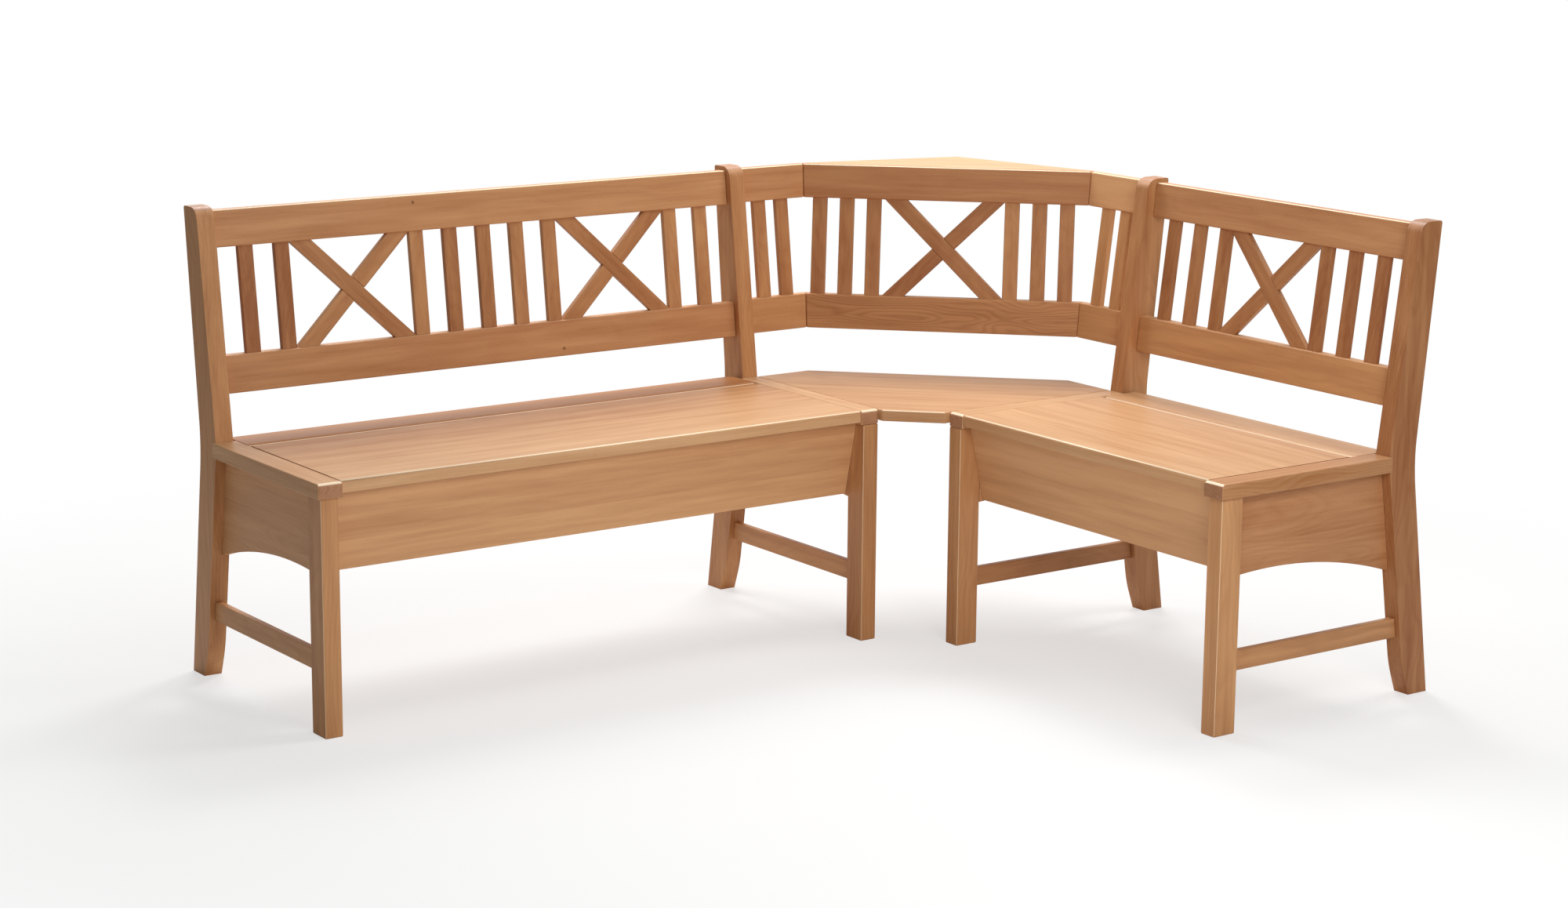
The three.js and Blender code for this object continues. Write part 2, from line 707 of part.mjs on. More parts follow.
// The whole, with its origin on the floor under the middle of its bounding box.
function cornerBench() {
  const whole = new THREE.Group();
  const cornerPiece = corner();
  cornerPiece.position.set(LONG_LENGTH, -CORNER_STEP, 0);
  whole.add(longBench(), shortBench(), cornerPiece);
  const right = LONG_LENGTH + CORNER_STEP + footBack;
  const near = CORNER_STEP + SHORT_LENGTH + CAP_OVERHANG;
  whole.position.set((CAP_OVERHANG - right) / 2, (near - footBack) / 2, 0);
  return whole;
}

export default cornerBench();
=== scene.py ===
# Corner storage bench in clear lacquered beech, ready to render. Each board stands where the packed
# model puts it, and gets eased arrises, its glue joints, its grain and its finish here.
import math
import random

import bmesh
import bpy
from mathutils import Matrix, Vector
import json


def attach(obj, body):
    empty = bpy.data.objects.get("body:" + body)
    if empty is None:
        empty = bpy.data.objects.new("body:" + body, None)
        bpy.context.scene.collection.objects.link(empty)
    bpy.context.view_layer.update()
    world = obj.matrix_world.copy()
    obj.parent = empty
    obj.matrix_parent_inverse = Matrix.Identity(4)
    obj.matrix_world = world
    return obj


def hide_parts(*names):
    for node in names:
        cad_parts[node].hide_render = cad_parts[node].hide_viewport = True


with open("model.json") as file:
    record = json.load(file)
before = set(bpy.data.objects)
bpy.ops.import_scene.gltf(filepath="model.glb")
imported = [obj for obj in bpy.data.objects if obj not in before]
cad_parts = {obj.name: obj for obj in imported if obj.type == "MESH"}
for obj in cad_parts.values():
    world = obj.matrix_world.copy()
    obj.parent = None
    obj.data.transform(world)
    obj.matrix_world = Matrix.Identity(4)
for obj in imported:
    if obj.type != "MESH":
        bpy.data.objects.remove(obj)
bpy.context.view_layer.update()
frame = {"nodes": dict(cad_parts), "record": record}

# Ways that the boards run: along a stretch of the bench as seen from its seat, and into its depth
UP = Vector((0, 0, 1))
STRETCHES = {
    "long": (Vector((1, 0, 0)), Vector((0, 1, 0))),
    "short": (Vector((0, -1, 0)), Vector((1, 0, 0))),
    "corner": (Vector((1, -1, 0)).normalized(), Vector((1, 1, 0)).normalized()),
}

# Each kind of board: the ways along, across and through its grain, the width in millimetres of the
# staves it is glued up from, with 0 for a board in one piece, the radius of its arrises in
# millimetres, how deep its tone is, with 0 for a middle one, and how far its rings show
COLUMNS = ("along", "across", "through", "stave", "radius", "tone", "figure")
KINDS = {
    "front_leg": ("up", "depth", "stretch", 0, 2.6, 0.1, 0.12),
    "rear_post": ("up", "depth", "stretch", 0, 2.6, 0.9, 0.12),
    "side_panel": ("depth", "up", "stretch", 92, 1.2, 0.6, 0.1),
    "stretcher": ("depth", "up", "stretch", 0, 2.0, 0.3, 0.1),
    "seat_cap": ("depth", "stretch", "up", 0, 2.2, 0.5, 0.16),
    "seat_lid": ("stretch", "depth", "up", 60, 1.2, 0.2, 0.05),
    "rear_strip": ("stretch", "depth", "up", 0, 1.2, 0.3, 0.05),
    "apron": ("stretch", "up", "depth", 76, 1.0, -0.9, 0.05),
    "back_panel": ("stretch", "up", "depth", 76, 1.0, 0.0, 0.05),
    "box_floor": ("stretch", "depth", "up", 90, 0.6, 0.0, 0.05),
    "rail": ("stretch", "up", "depth", 0, 2.6, 0.5, 0.06),
    "slat": ("up", "stretch", "depth", 0, 1.8, 1.35, 0.08),
    "cleat": ("depth", "stretch", "up", 0, 1.5, 0.0, 0.1),
    "corner_seat": ("stretch", "depth", "up", 74, 3.0, 0.9, 0.05),
    "corner_shelf": ("stretch", "depth", "up", 74, 2.2, 0.0, 0.05),
}
BOARDS = {kind: dict(zip(COLUMNS, values)) for kind, values in KINDS.items()}

# Glued up boards whose staves are chosen: each stave's share of the width and its tone, from the
# bottom up or from the front to the back
STAVES = {
    "long_apron": ((0.36, -0.2), (0.64, 0.5)),
    "short_apron": ((0.64, 0.0), (0.36, -0.7)),
    # The long lid's staves deepen from the front to the back as painted shade, for the shadow and dark
    # reflection that the back lays over the rear of the seat
    "long_seat_lid": ((1, -0.3), (1, 0.0), (1, 0.4), (1, 0.9), (1, 1.4), (1, 1.8)),
    "short_seat_lid": ((1, 0.3), (1, 0.1), (1, 0.4), (1, 0.2), (1, 0.5), (1, 0.4)),
}
# Boards that are deeper than the others of their kind, or paler
TONES = {
    "left_inner_front_leg": 0.4,
    "right_end_front_leg": -0.35,
    "left_inner_rear_post": -0.35,
    "right_inner_rear_post": -0.3,
    "right_end_rear_post": 0.8,
    "left_end_side_panel": -0.95,
    "right_end_side_panel": 0.55,
    "left_inner_stretcher": -0.6,
    "right_inner_stretcher": 0.7,
    "left_inner_seat_cap": -0.5,
    "right_inner_seat_cap": -0.5,
    "right_end_seat_cap": 1.2,
    # The long rear strip is deepened as painted shade, for the shadow of the back's lower rail that falls
    # on the strip
    "long_rear_strip": 3.0,
    "left_end_rear_post": -0.7,
    "left_end_stretcher": -0.9,
    "long_back_bottom_rail": 0.25,
    "long_back_slat_1": 1.1,
    "long_back_slat_2": 1.0,
    "long_back_slat_3": -0.6,
    "long_back_slat_4": 0.45,
    "long_back_slat_5": 0.35,
    "long_back_slat_6": -0.5,
    "long_back_slat_7": -0.35,
    "long_back_slat_8": -0.95,
    "long_back_slat_9": -0.65,
    "long_back_cross_1_rising_bar": -0.4,
    "short_back_top_rail": 0.45,
    "short_back_lower_rail": -0.65,
    "short_back_slat_1": 0.4,
    "short_back_slat_3": 0.4,
    "short_back_slat_4": 0.7,
    "short_back_slat_5": 0.7,
    "short_back_slat_6": 0.8,
    "corner_diagonal_top_rail": 0.85,
    "corner_diagonal_cross_rising_bar": 0.35,
    "corner_diagonal_slat_4": -1.2,
    "corner_diagonal_slat_5": -0.45,
    "corner_diagonal_slat_6": -0.4,
    "corner_left_top_rail": 0.45,
    "corner_left_lower_rail": -0.3,
    "corner_left_slat_1": -0.5,
    "corner_right_top_rail": -2.0,
    "corner_right_lower_rail": -1.5,
    "corner_right_slat_1": -2.1,
    "corner_right_slat_2": -2.1,
    "corner_shelf": 0.2,
}
# Boards whose rings are chosen: how far they show, and the heart's place across and through the
# board, in millimetres from its middle
FIGURED = {
    "corner_diagonal_lower_rail": (0.26, 6, 14),
    "left_end_side_panel": (0.12, -40, 30),
    "left_end_seat_cap": (0.16, 60, -70),
    "right_end_seat_cap": (0.16, -60, -60),
}
# Boards with a knot: its place along and across the board from the middle, in millimetres
KNOTS = {
    "long_back_top_rail": (-151, 20),
    "long_back_bottom_rail": (159, -20),
}

# Boards whose front arris gets a painted highlight, a pale line standing in for the lamps' glint, and the
# slopes it is painted on, as heights of the normal: the upper half of an edge, or the lower half of the
# strips' round
HIGHLIGHT_SLOPES = {
    "seat_lid": (0.7, 0.999),
    "rear_strip": (0.1, 0.7),
    "corner_seat": (0.6, 0.999),
    "seat_cap": (0.6, 0.999),
    "top_rail": (0.6, 0.999),
}
# The way out from the corner, that the upright arrises of the front legs face where they get a painted
# highlight
OUTWARD = Vector((-1, -1, 0)).normalized()

# In metres: the top of the lower back rails, where the slats of a slatted rail start, the length of
# the hidden tenons at the ends of slats and cross bars, the width over which slats count as a
# cross, the shortest edge that is eased and the widest face that counts as an arris
RAIL_TOP = 0.612
TENON = 0.004
CROSS_WIDTH = 0.1
EASED_EDGE = 0.0013
ARRIS_WIDTH = 0.0035
# How far apart, in metres, points are one, a cut keeps to a corner, and corners are level
WELD = 0.00001
SNAP = 0.000001
LEVEL = 0.0005
ROUGH_LEVEL = 0.002
# How far the rings show on end grain, and how strong the painted highlight on the upright arrises of the
# front legs is
END_FIGURE = 0.28
LEG_ARRIS_HIGHLIGHT = 0.55

# Soft lamps: where each stands, where it points and how large it is, in metres, and its watts
LAMPS = {
    "front_left_softbox": ((-1.3, -2.9, 1.7), (0.2, 0.0, 0.4), (1.5, 1.5), 18),
    "front_softbox": ((-0.4, -2.4, 1.6), (0.4, 0.0, 0.4), (1.2, 1.2), 20),
    "overhead_softbox": ((1.35, -0.4, 2.9), (0.2, 0.0, 0.4), (0.7, 1.9), 32),
    "rear_left_softbox": ((0.1, 1.95, 2.4), (0.2, 0.0, 0.4), (1.1, 1.0), 34),
    "rear_softbox": ((1.3, 1.4, 3.0), (0.1, 0.0, 0.45), (0.9, 0.9), 49),
}
# The light that the white surround gives, the half width of the floor in metres, and from where to
# where round the bench the floor fades to white
SURROUND_LIGHT = 0.16
FLOOR_REACH = 12
FLOOR_FADE = (1.2, 2.4)
# The photograph's camera: its place in metres, its yaw, pitch and roll in degrees, and its focal
# length and sensor width in millimetres
EYE = (-3.38188, -4.66202, 1.66168)
EYE_ANGLES = (35.519, 12.026, 0.465)
FOCAL_LENGTH = 73.307
SENSOR_WIDTH = 36


def linear(colour):
    """The linear colour that a shader wants for an sRGB hex colour."""
    channels = [int(colour[place : place + 2], 16) / 255 for place in (1, 3, 5)]
    return [c / 12.92 if c <= 0.04045 else ((c + 0.055) / 1.055) ** 2.4 for c in channels] + [1.0]


def bare_tree(holder):
    """The node tree of a material or world, without the nodes it starts with."""
    holder.use_nodes = True
    holder.node_tree.nodes.clear()
    return holder.node_tree


def add_node(tree, kind, settings=None, links=None):
    """Adds a node to a tree, with its settings and inputs by name or number, and its links."""
    node = tree.nodes.new(kind)
    for name, value in (settings or {}).items():
        if isinstance(name, str) and hasattr(node, name):
            setattr(node, name, value)
        else:
            node.inputs[name].default_value = value
    for name, source in (links or {}).items():
        tree.links.new(source, node.inputs[name])
    return node


def lacquered_beech(name, pale, deep):
    """Planed beech under clear satin lacquer: quiet, with soft bands of tone along the grain, thin
    lines of late wood that only show well in some boards, fine short flecks and a low shine.
    The grain attribute gives millimetres along, across and through the board from the tree's heart, knot
    the millimetres along and across from a knot, tone says how deep a stave is, in a few boards deepened as
    painted shade, figure how strongly its growth rings show, end whether a face is end grain and arris how
    strongly a painted highlight, a pale cream line standing in for the lamps' glint, lies on an arris face."""
    material = bpy.data.materials.new(name)
    tree = bare_tree(material)
    grain = add_node(tree, "ShaderNodeAttribute", {"attribute_name": "grain"}).outputs["Vector"]
    tone = add_node(tree, "ShaderNodeAttribute", {"attribute_name": "tone"}).outputs["Fac"]
    figure = add_node(tree, "ShaderNodeAttribute", {"attribute_name": "figure"}).outputs["Fac"]
    end = add_node(tree, "ShaderNodeAttribute", {"attribute_name": "end"}).outputs["Fac"]
    arris = add_node(tree, "ShaderNodeAttribute", {"attribute_name": "arris"}).outputs["Fac"]
    knot = add_node(tree, "ShaderNodeAttribute", {"attribute_name": "knot"}).outputs["Vector"]

    # Growth rings 6.5 mm apart about the heart, which narrow along the tree. They wander, most in
    # the boards that show them. True ones lie 2 to 4 mm apart, too fine to tell in the picture
    stretched = add_node(
        tree, "ShaderNodeVectorMath", {"operation": "MULTIPLY", 1: (1 / 190, 1 / 60, 1 / 60)}, {0: grain}
    ).outputs[0]
    wander = add_node(
        tree, "ShaderNodeTexNoise", {"Scale": 1.0, "Detail": 1.5, "Roughness": 0.4}, {"Vector": stretched}
    ).outputs["Fac"]
    axes = add_node(tree, "ShaderNodeSeparateXYZ", links={0: grain})
    square = add_node(
        tree, "ShaderNodeMath", {"operation": "MULTIPLY"}, {0: axes.outputs[1], 1: axes.outputs[1]}
    ).outputs[0]
    squares = add_node(
        tree, "ShaderNodeMath", {"operation": "MULTIPLY_ADD"},
        {0: axes.outputs[2], 1: axes.outputs[2], 2: square},
    ).outputs[0]
    radius = add_node(tree, "ShaderNodeMath", {"operation": "SQRT"}, {0: squares}).outputs[0]
    taper = add_node(
        tree, "ShaderNodeMath", {"operation": "MULTIPLY_ADD", 1: 0.015}, {0: axes.outputs[0], 2: radius}
    ).outputs[0]
    sway = add_node(
        tree, "ShaderNodeMath", {"operation": "MULTIPLY_ADD", 1: 240.0, 2: 15.0}, {0: figure}
    ).outputs[0]
    wavy = add_node(
        tree, "ShaderNodeMath", {"operation": "MULTIPLY_ADD"}, {0: wander, 1: sway, 2: taper}
    ).outputs[0]
    turns = add_node(tree, "ShaderNodeMath", {"operation": "MULTIPLY", 1: 1 / 6.5}, {0: wavy}).outputs[0]
    phase = add_node(tree, "ShaderNodeMath", {"operation": "FRACT"}, {0: turns}).outputs[0]
    rings = add_node(tree, "ShaderNodeValToRGB", links={0: phase})
    stops = rings.color_ramp.elements
    stops[0].color = (0.5, 0.5, 0.5, 1)
    stops[1].color = (0.5, 0.5, 0.5, 1)
    for place, shade in ((0.2, 0.15), (0.5, 0.0), (0.8, 0.9)):
        stops.new(place).color = (shade, shade, shade, 1)

    # Soft bands about 20 mm wide and 300 mm long, where the wood took more or less light
    banded = add_node(
        tree, "ShaderNodeVectorMath", {"operation": "MULTIPLY", 1: (1 / 300, 1 / 20, 1 / 20)}, {0: grain}
    ).outputs[0]
    bands = add_node(
        tree, "ShaderNodeTexNoise", {"Scale": 1.0, "Detail": 2.0, "Roughness": 0.5}, {"Vector": banded}
    ).outputs["Fac"]
    # Streaks along the fibres, drawn 4 mm wide instead of under 1 mm so that they show
    drawn_out = add_node(
        tree, "ShaderNodeVectorMath", {"operation": "MULTIPLY", 1: (1 / 150, 1 / 4, 1 / 4)}, {0: grain}
    ).outputs[0]
    streaks = add_node(
        tree, "ShaderNodeTexNoise", {"Scale": 1.0, "Detail": 3.0, "Roughness": 0.6}, {"Vector": drawn_out}
    ).outputs["Fac"]
    # Ray flecks, short dark dashes of 1 by 5 mm drawn at 2 by 10 mm
    dashes = add_node(
        tree, "ShaderNodeVectorMath", {"operation": "MULTIPLY", 1: (1 / 10, 1 / 2, 1 / 2)}, {0: grain}
    ).outputs[0]
    specks = add_node(
        tree, "ShaderNodeTexNoise", {"Scale": 1.0, "Detail": 0.0}, {"Vector": dashes}
    ).outputs["Fac"]
    flecks = add_node(
        tree, "ShaderNodeMapRange", {"From Min": 0.6, "From Max": 0.78, "To Max": 0.05}, {"Value": specks}
    ).outputs[0]

    late_wood = add_node(
        tree, "ShaderNodeMath", {"operation": "MULTIPLY_ADD"}, {0: rings.outputs[0], 1: figure, 2: flecks}
    ).outputs[0]
    streaked = add_node(
        tree, "ShaderNodeMath", {"operation": "MULTIPLY_ADD", 1: 0.28}, {0: streaks, 2: late_wood}
    ).outputs[0]
    clouded = add_node(
        tree, "ShaderNodeMath", {"operation": "MULTIPLY_ADD", 1: 0.74}, {0: bands, 2: streaked}
    ).outputs[0]
    toned = add_node(
        tree, "ShaderNodeMath", {"operation": "MULTIPLY_ADD", 1: 0.22}, {0: tone, 2: clouded}
    ).outputs[0]
    depth = add_node(
        tree, "ShaderNodeMath", {"operation": "SUBTRACT", 1: 0.13, "use_clamp": True}, {0: toned}
    ).outputs[0]
    flat_grain = add_node(
        tree, "ShaderNodeMix", {"data_type": "RGBA", 6: linear(pale), 7: linear(deep)}, {0: depth}
    ).outputs[2]
    # End grain takes the lacquer in and goes a greyer, pinker brown
    end_grain = add_node(
        tree, "ShaderNodeMix",
        {"data_type": "RGBA", 6: linear("#C4906C"), 7: linear("#966746")},
        {0: depth},
    ).outputs[2]
    wood = add_node(
        tree, "ShaderNodeMix", {"data_type": "RGBA"}, {0: end, 6: flat_grain, 7: end_grain}
    ).outputs[2]
    # Painted highlight: the marked front arrises are mixed toward a pale cream, standing in for the fine
    # lines of light that the lamps' glint draws on them
    highlight_share = add_node(tree, "ShaderNodeMath", {"operation": "MULTIPLY", 1: 0.85}, {0: arris}).outputs[0]
    highlighted = add_node(
        tree, "ShaderNodeMix", {"data_type": "RGBA", 7: linear("#FAE3C2")}, {0: highlight_share, 6: wood}
    ).outputs[2]
    # Small brown knots, round and 5 mm wide with a soft rim
    off_knot = add_node(tree, "ShaderNodeVectorMath", {"operation": "LENGTH"}, {0: knot}).outputs[1]
    knotty = add_node(
        tree, "ShaderNodeMapRange", {"From Min": 4.5, "From Max": 1.5, "To Max": 0.8}, {"Value": off_knot}
    ).outputs[0]
    colour = add_node(
        tree, "ShaderNodeMix", {"data_type": "RGBA", 7: linear("#6B3F22")}, {0: knotty, 6: highlighted}
    ).outputs[2]

    # The lacquer evens the pores out, so the surface only ripples by hundredths of a millimetre
    ripple = add_node(
        tree, "ShaderNodeBump", {"Strength": 0.1, "Distance": 0.0002}, {"Height": streaks}
    ).outputs[0]
    gloss = add_node(
        tree, "ShaderNodeMapRange", {"To Min": 0.38, "To Max": 0.5}, {"Value": streaks}
    ).outputs[0]
    shader = add_node(
        tree, "ShaderNodeBsdfPrincipled", {"IOR": 1.45, "Specular IOR Level": 0.32},
        {"Base Color": colour, "Normal": ripple, "Roughness": gloss},
    ).outputs[0]
    add_node(tree, "ShaderNodeOutputMaterial", links={"Surface": shader})
    return material


def drawn_steel(name):
    """Drawn steel rod: bright grey with a soft shine and faint lines along its length."""
    material = bpy.data.materials.new(name)
    tree = bare_tree(material)
    place = add_node(tree, "ShaderNodeTexCoord").outputs["Object"]
    # Drawing lines, finer than 0.1 mm in truth, drawn 0.5 mm apart
    lines = add_node(
        tree, "ShaderNodeTexNoise", {"Scale": 2000.0, "Detail": 2.0}, {"Vector": place}
    ).outputs["Fac"]
    gloss = add_node(
        tree, "ShaderNodeMapRange", {"To Min": 0.25, "To Max": 0.4}, {"Value": lines}
    ).outputs[0]
    colour = add_node(
        tree, "ShaderNodeMix", {"data_type": "RGBA", 6: linear("#B4B6B8"), 7: linear("#A2A4A7")}, {0: lines}
    ).outputs[2]
    shader = add_node(
        tree, "ShaderNodeBsdfPrincipled", {"Metallic": 1.0}, {"Base Color": colour, "Roughness": gloss}
    ).outputs[0]
    add_node(tree, "ShaderNodeOutputMaterial", links={"Surface": shader})
    return material


MATERIALS = {
    "beech_seat": lacquered_beech("lacquered_beech_seat", "#E0B588", "#AA7040"),
    "beech_board": lacquered_beech("lacquered_beech_boards", "#DEAA79", "#A2653A"),
    "beech_frame": lacquered_beech("lacquered_beech_frame", "#DBA571", "#985E36"),
    "steel_pin": drawn_steel("drawn_steel_pins"),
}
SLOTS = {subpart["node"]: subpart["material_slot"] for subpart in frame["record"]["subparts"]}
BODIES = {node: body for body, nodes in frame["record"]["behaviour"]["bodies"].items() for node in nodes}


def stretch_of(node):
    """The ways along and into the stretch of bench that a node belongs to."""
    if node.startswith(("left_", "long_", "corner_left_")):
        return STRETCHES["long"]
    if node.startswith(("right_", "short_", "corner_right_")):
        return STRETCHES["short"]
    return STRETCHES["corner"]


def grain_ways(node, kind):
    """The unit vectors along, across and through a board's grain."""
    stretch, depth = stretch_of(node)
    ways = {"stretch": stretch, "depth": depth, "up": UP}
    return [ways[BOARDS[kind][column]] for column in COLUMNS[:3]]


def solid_of(node):
    """A node's faces, joined up and without the lines between flat triangles."""
    solid = bmesh.new()
    solid.from_mesh(frame["nodes"][node].data)
    bmesh.ops.remove_doubles(solid, verts=solid.verts, dist=WELD)
    merge_flats(solid)
    return solid


def merge_flats(solid):
    """Joins flat neighbouring faces into one."""
    flat = math.radians(0.5)
    bmesh.ops.dissolve_limit(solid, angle_limit=flat, verts=solid.verts, edges=solid.edges)


def hull_of(points):
    """A block with flat faces round a set of points."""
    solid = bmesh.new()
    for point in points:
        solid.verts.new(point)
    hull = bmesh.ops.convex_hull(solid, input=solid.verts)
    loose = [vert for vert in hull["geom_interior"] if isinstance(vert, bmesh.types.BMVert)]
    bmesh.ops.delete(solid, geom=loose, context="VERTS")
    merge_flats(solid)
    return solid


def tenoned(solid, along):
    """Lengthens a slat or bar at both ends, so that its eased ends sit inside the rails."""
    heights = [vert.co.z for vert in solid.verts]
    low, high = min(heights), max(heights)
    for vert in solid.verts:
        if vert.co.z < low + ROUGH_LEVEL:
            vert.co -= along * TENON
        elif vert.co.z > high - ROUGH_LEVEL:
            vert.co += along * TENON
    return solid


def way_up(points):
    """The direction from the middle of the lowest points to the middle of the highest."""
    low = min(point.z for point in points)
    high = max(point.z for point in points)
    feet = [point for point in points if point.z < low + ROUGH_LEVEL]
    heads = [point for point in points if point.z > high - ROUGH_LEVEL]
    rise = sum(heads, Vector()) / len(heads) - sum(feet, Vector()) / len(feet)
    return rise.normalized()


def ease_arrises(solid, name, radius, depth):
    """Rounds the outer edges and marks the narrow faces to the front that get a painted highlight, a pale
    line standing in for the glint of the lamps on the arris. The rims of the pin holes, with edges about 1
    mm long, stay sharp."""
    highlit_face = solid.faces.layers.float.new("arris")
    arrises = [
        edge for edge in solid.edges
        if edge.is_manifold and edge.is_convex
        and edge.calc_face_angle() > math.radians(25) and edge.calc_length() > EASED_EDGE
    ]
    bmesh.ops.bevel(
        solid, geom=arrises, offset=radius / 1000, offset_type="OFFSET", segments=3, profile=0.5,
        affect="EDGES", clamp_overlap=True,
    )
    # Painted highlight: only arris faces turned to the front and tilted within the listed slopes, where the
    # lamps would glint, get the pale mark
    low, high = next((HIGHLIGHT_SLOPES[part] for part in HIGHLIGHT_SLOPES if part in name), (1, 1))
    for face in solid.faces:
        if min(edge.calc_length() for edge in face.edges) > ARRIS_WIDTH:
            continue
        level = Vector((face.normal.x, face.normal.y, 0)).normalized()
        if low < face.normal.z < high and level.dot(depth) < -0.9:
            face[highlit_face] = 1
        elif "front_leg" in name and face.normal.dot(OUTWARD) > 0.9:
            face[highlit_face] = LEG_ARRIS_HIGHLIGHT


def even_staves(width, stave_width, dice):
    """Equal staves of about a width in millimetres, each a little off in tone, or a single one."""
    if not stave_width:
        return [(1, 0)]
    staves = max(1, round(width * 1000 / stave_width))
    return [(1, dice.uniform(-0.25, 0.25)) for stave in range(staves)]


def mark_grain(solid, name, ways, kind):
    """Cuts the faces at the glue joints, and gives each stave its own place in a tree and its tone.
    End grain is deeper and shows its rings."""
    along, across, through = ways
    dice = random.Random(name)
    board = BOARDS[kind]
    figure, heart_across, heart_through = FIGURED.get(name, (board["figure"], None, None))
    places = [vert.co.dot(across) for vert in solid.verts]
    low, high = min(places), max(places)
    shares = STAVES.get(name) or even_staves(high - low, board["stave"], dice)
    whole = sum(share for share, tone in shares)
    staves = []
    for share, tone in shares:
        start = low
        low += (high - start) * share / whole
        whole -= share
        heart = Vector((
            dice.uniform(-3000, 3000),
            heart_across or dice.uniform(-40, 40),
            heart_through or dice.choice((-1, 1)) * dice.uniform(40, 110),
        ))
        staves.append((start, low, heart, board["tone"] + TONES.get(name, 0) + tone))
    joints = [stave[0] for stave in staves[1:]]
    for joint in joints:
        geometry = solid.verts[:] + solid.edges[:] + solid.faces[:]
        cut = across * joint
        bmesh.ops.bisect_plane(solid, geom=geometry, dist=SNAP, plane_co=cut, plane_no=across)
    reaches = [[vert.co.dot(way) for vert in solid.verts] for way in ways]
    centre = [(min(reach) + max(reach)) / 2 for reach in reaches]
    knot_place = KNOTS.get(name, (9000, 9000))
    grain = solid.loops.layers.float_vector.new("grain")
    knot = solid.loops.layers.float_vector.new("knot")
    tones = solid.faces.layers.float.new("tone")
    figures = solid.faces.layers.float.new("figure")
    ends = solid.faces.layers.float.new("end")
    for face in solid.faces:
        place = face.calc_center_median().dot(across)
        stave = sum(place > joint for joint in joints)
        start, end, heart, tone = staves[stave]
        middle = Vector((0, (start + end) / 2, centre[2]))
        end_grain = abs(face.normal.dot(along)) > 0.8
        face[tones] = tone
        face[figures] = END_FIGURE if end_grain else figure
        face[ends] = 1 if end_grain else 0
        face.smooth = True
        for loop in face.loops:
            point = Vector([loop.vert.co.dot(way) for way in ways])
            loop[grain] = (point - middle) * 1000 + heart
            off = (point - Vector(centre)) * 1000
            loop[knot] = Vector((off.x - knot_place[0], off.y - knot_place[1], 0))


def place_board(name, node, solid, ways, kind):
    """Finishes a board from its solid and puts it in the scene in its node's place."""
    ease_arrises(solid, name, BOARDS[kind]["radius"], stretch_of(node)[1])
    mark_grain(solid, name.removesuffix("_board"), ways, kind)
    mesh = bpy.data.meshes.new(name)
    solid.to_mesh(mesh)
    solid.free()
    mesh.materials.append(MATERIALS[SLOTS[node]])
    board = bpy.data.objects.new(name, mesh)
    bpy.context.scene.collection.objects.link(board)
    shading = board.modifiers.new("shading", "WEIGHTED_NORMAL")
    shading.weight = 90
    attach(board, BODIES[node])
    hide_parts(node)
    return board


def islands_above(solid, height):
    """The corner points of each separate piece that stands above a height."""
    geometry = solid.verts[:] + solid.edges[:] + solid.faces[:]
    bmesh.ops.bisect_plane(
        solid, geom=geometry, dist=SNAP, plane_co=UP * height, plane_no=UP, clear_inner=True
    )
    left = set()
    for vert in solid.verts:
        if any(edge.other_vert(vert).co.z > height + 0.001 for edge in vert.link_edges):
            left.add(vert)
    islands = []
    while left:
        island = []
        front = [left.pop()]
        while front:
            vert = front.pop()
            island.append(vert.co.copy())
            near = [edge.other_vert(vert) for edge in vert.link_edges]
            fresh = [other for other in near if other in left]
            left.difference_update(fresh)
            front.extend(fresh)
        islands.append(island)
    return islands


def bar_points(ends, front, share):
    """The eight corners of a cross bar, between two shares of the thickness from its front."""
    points = []
    for (place, height), (near, far) in zip(ends, front):
        for part in share:
            points.append((place, near + (far - near) * part, height))
    return points


def cut_from(solid, cutter):
    """A solid less another."""
    meshes = []
    for shape in (solid, cutter):
        mesh = bpy.data.meshes.new("blank")
        shape.to_mesh(mesh)
        shape.free()
        meshes.append(mesh)
    blank, tool = (bpy.data.objects.new("blank", mesh) for mesh in meshes)
    for shape in (blank, tool):
        bpy.context.scene.collection.objects.link(shape)
    cut = blank.modifiers.new("cut", "BOOLEAN")
    cut.object = tool
    cut.operation = "DIFFERENCE"
    cut.solver = "EXACT"
    bpy.context.view_layer.update()
    result = bmesh.new()
    result.from_object(blank, bpy.context.evaluated_depsgraph_get())
    for shape in (blank, tool):
        bpy.data.objects.remove(shape)
    for mesh in meshes:
        bpy.data.meshes.remove(mesh)
    bmesh.ops.remove_doubles(result, verts=result.verts, dist=WELD)
    merge_flats(result)
    return result


